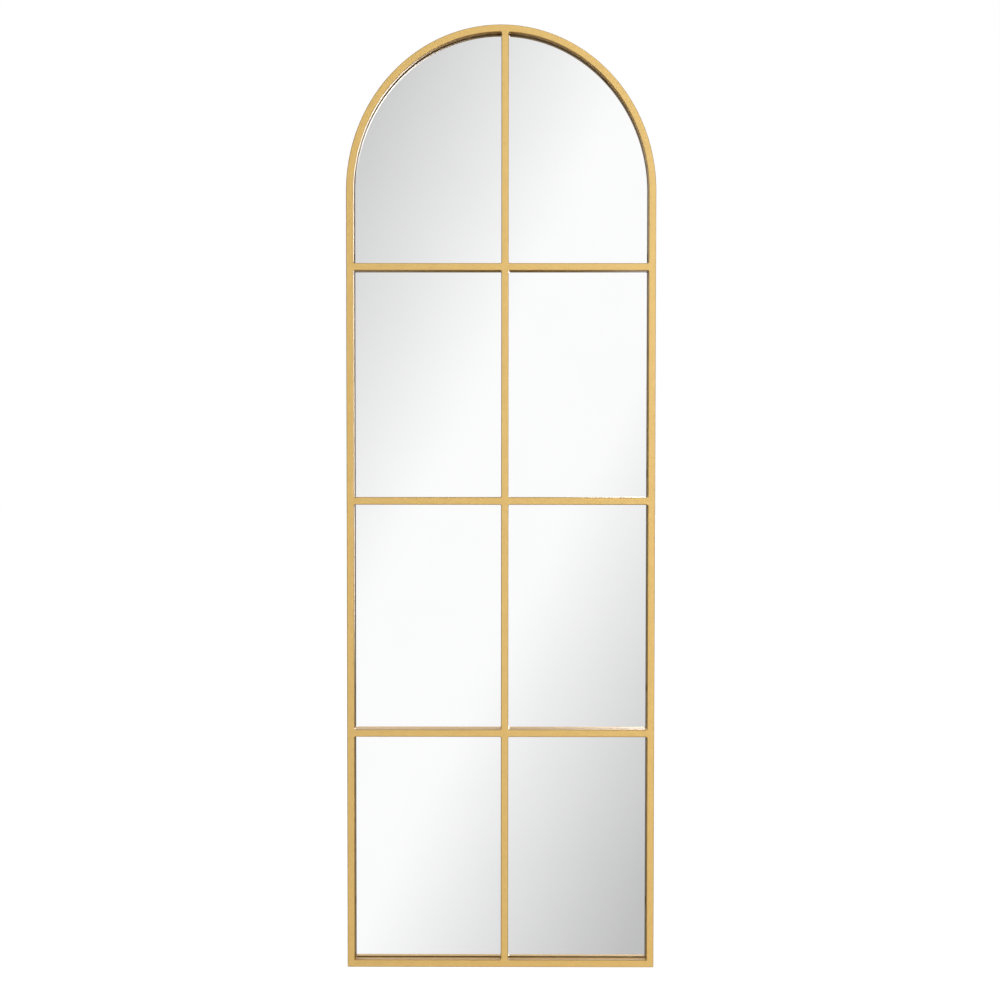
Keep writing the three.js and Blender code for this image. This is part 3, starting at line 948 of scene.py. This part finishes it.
# The room in front, as glossy rays find it: a slanting band of light, grey on both sides of
# it, a wide white screen on the right, a pale ceiling, a darker warm ground and the glow of
# three lamps. What the tubes' walls show by way of the glass is dark below, but for one lamp.
band_slant = (0.893, -0.450)
band_level = 0.985
band_sides = ((-1, 0.036, 2.7), (1, 0.054, 3.0))  # which side, where it starts, how it falls
band_soft = 0.02
far_level = 0.49
far_lean = (0.22, -0.05)  # how the grey grows to the right and upwards
far_soft = 0.04
screen_rise = (0.10, 0.18)  # where it begins and is full, in X
screen_fall = (0.4, 0.6)
screen_level = 1.0
steep_start = 0.32
steep_rises = (-0.1, 0.6)  # how the ground and the ceiling change from there
glows = (
    ((0.30, 0.09), 0.08, 0.20, 2.3, 0),
    ((0.62, 0.12), 0.12, 0.38, 1.7, 0),
    ((-0.40, 0.20), 0.10, 0.28, 0.9, 0),
)  # where each lamp lies in X and Z, where it starts to fade, where it ends, and its levels
by_glass_rise = (0.02, 0.12, 0.10, 1.0)  # from where to where in Z, and its levels
by_glass_glow = ((0.22, 0.045), 0.13, 0.20, 7.0, 0)
by_glass_sides = (0.03, 0.09, 0, 0.25)
by_glass_depth = 2.5  # a ray that is deeper came by way of the glass
rear_level = 0.45
rear_rise = 0.25
rear_edge = (-0.1, 0.15)  # where the room behind the mirror takes over, in Y
ground_edge = (-0.60, -0.36)
ground_tint = (1.0, 0.80, 0.55, 1)
soft_fill_level = 0.6
white = (1, 1, 1, 1)

world = bpy.data.worlds.new("studio")
bpy.context.scene.world = world
world.use_nodes = True
sky = world.node_tree
sky.nodes.clear()
path_kind = node(sky, "ShaderNodeLightPath").outputs
direction = node(sky, "ShaderNodeTexCoord").outputs["Generated"]
way = node(sky, "ShaderNodeSeparateXYZ", {0: direction}).outputs


def eased(value, start, end, low, high):
    """Low before the start, high after the end, and a soft step between them."""
    return scaled(sky, value, start, end, low, high, interpolation_type="SMOOTHSTEP")


def leaning(lean, level):
    """A level that grows with a ray's way in X and in Z."""
    risen = reckoned(sky, "MULTIPLY_ADD", way["Z"], lean[1], level)
    return reckoned(sky, "MULTIPLY_ADD", way["X"], lean[0], risen)


def lamp_glow(centre, fade, edge, glow, dark):
    """The round glow of a lamp, by how far a ray's way lies from it in X and Z."""
    squares = [
        reckoned(sky, "POWER", reckoned(sky, "SUBTRACT", way[axis], middle), 2)
        for axis, middle in zip("XZ", centre)
    ]
    distance = reckoned(sky, "SQRT", reckoned(sky, "ADD", *squares))
    return eased(distance, fade, edge, glow, dark)


def blended(share, low, high):
    """Low where the share is 0, and high where it is 1."""
    return reckoned(sky, "MULTIPLY_ADD", share, reckoned(sky, "SUBTRACT", high, low), low)


across = leaning(band_slant, 0)
level = band_level
for sign, start, fall in band_sides:
    beyond = reckoned(sky, "MULTIPLY_ADD", across, sign, -start)
    past = reckoned(sky, "SMOOTH_MAX", beyond, 0, band_soft)
    level = reckoned(sky, "SUBTRACT", level, reckoned(sky, "MULTIPLY", past, fall))
level = reckoned(sky, "SMOOTH_MAX", level, leaning(far_lean, far_level), far_soft)
for sign, rise in zip((-1, 1), steep_rises):
    steep = reckoned(sky, "MULTIPLY_ADD", way["Z"], sign, -steep_start)
    level = reckoned(sky, "MULTIPLY_ADD", reckoned(sky, "MAXIMUM", steep, 0), rise, level)
screen_side = eased(way["X"], *screen_rise, 0, screen_level)
screen = reckoned(sky, "MULTIPLY", screen_side, eased(way["X"], *screen_fall, 1, 0))
level = reckoned(sky, "ADD", level, screen)
for lamp in glows:
    level = reckoned(sky, "ADD", level, lamp_glow(*lamp))
rear = reckoned(sky, "MULTIPLY_ADD", way["Z"], rear_rise, rear_level)
level = blended(eased(way["Y"], *rear_edge, 0, 1), level, rear)

by_glass = reckoned(sky, "ADD", eased(way["Z"], *by_glass_rise), lamp_glow(*by_glass_glow))
aside = reckoned(sky, "ABSOLUTE", way["X"])
by_glass = reckoned(sky, "ADD", by_glass, eased(aside, *by_glass_sides))
deep = reckoned(sky, "GREATER_THAN", path_kind["Ray Depth"], by_glass_depth)
level = blended(deep, level, by_glass)

ground = eased(way["Z"], *ground_edge, 1, 0)
warm = node(sky, "ShaderNodeMix", {"Factor": ground}, data_type="RGBA")
warm.inputs[6].default_value = white
warm.inputs[7].default_value = ground_tint
reflected = node(sky, "ShaderNodeBackground", {"Color": warm.outputs[2], "Strength": level})
soft_fill = node(sky, "ShaderNodeBackground", {"Color": white, "Strength": soft_fill_level})
shown = node(sky, "ShaderNodeBackground", {"Color": white, "Strength": 1})
lit = node(
    sky,
    "ShaderNodeMixShader",
    {0: path_kind["Is Glossy Ray"], 1: soft_fill.outputs[0], 2: reflected.outputs[0]},
)
seen = node(
    sky,
    "ShaderNodeMixShader",
    {0: path_kind["Is Camera Ray"], 1: lit.outputs[0], 2: shown.outputs[0]},
)
node(sky, "ShaderNodeOutputWorld", {"Surface": seen.outputs[0]})
bpy.context.scene.view_settings.view_transform = "Standard"

# ------------------------------------------------------------------------------------------
# Camera: 2.7 m in front of the mirror and a little above its middle, aimed slightly down.
# ------------------------------------------------------------------------------------------
camera_distance = 2.671  # from the frame's face
camera_height = 0.8941
camera_aside = 0.0093
camera_down = 1.737  # degrees, as the next two
camera_roll = -0.044
camera_left = 0.232
lens_data = bpy.data.cameras.new("camera")
lens_data.sensor_width = 36
lens_data.lens = 55.81
camera = new_piece("camera", lens_data)
camera.location = (camera_aside, face_y - camera_distance, camera_height)
camera.rotation_euler = (radians(90 - camera_down), radians(camera_roll), radians(camera_left))
bpy.context.scene.camera = camera
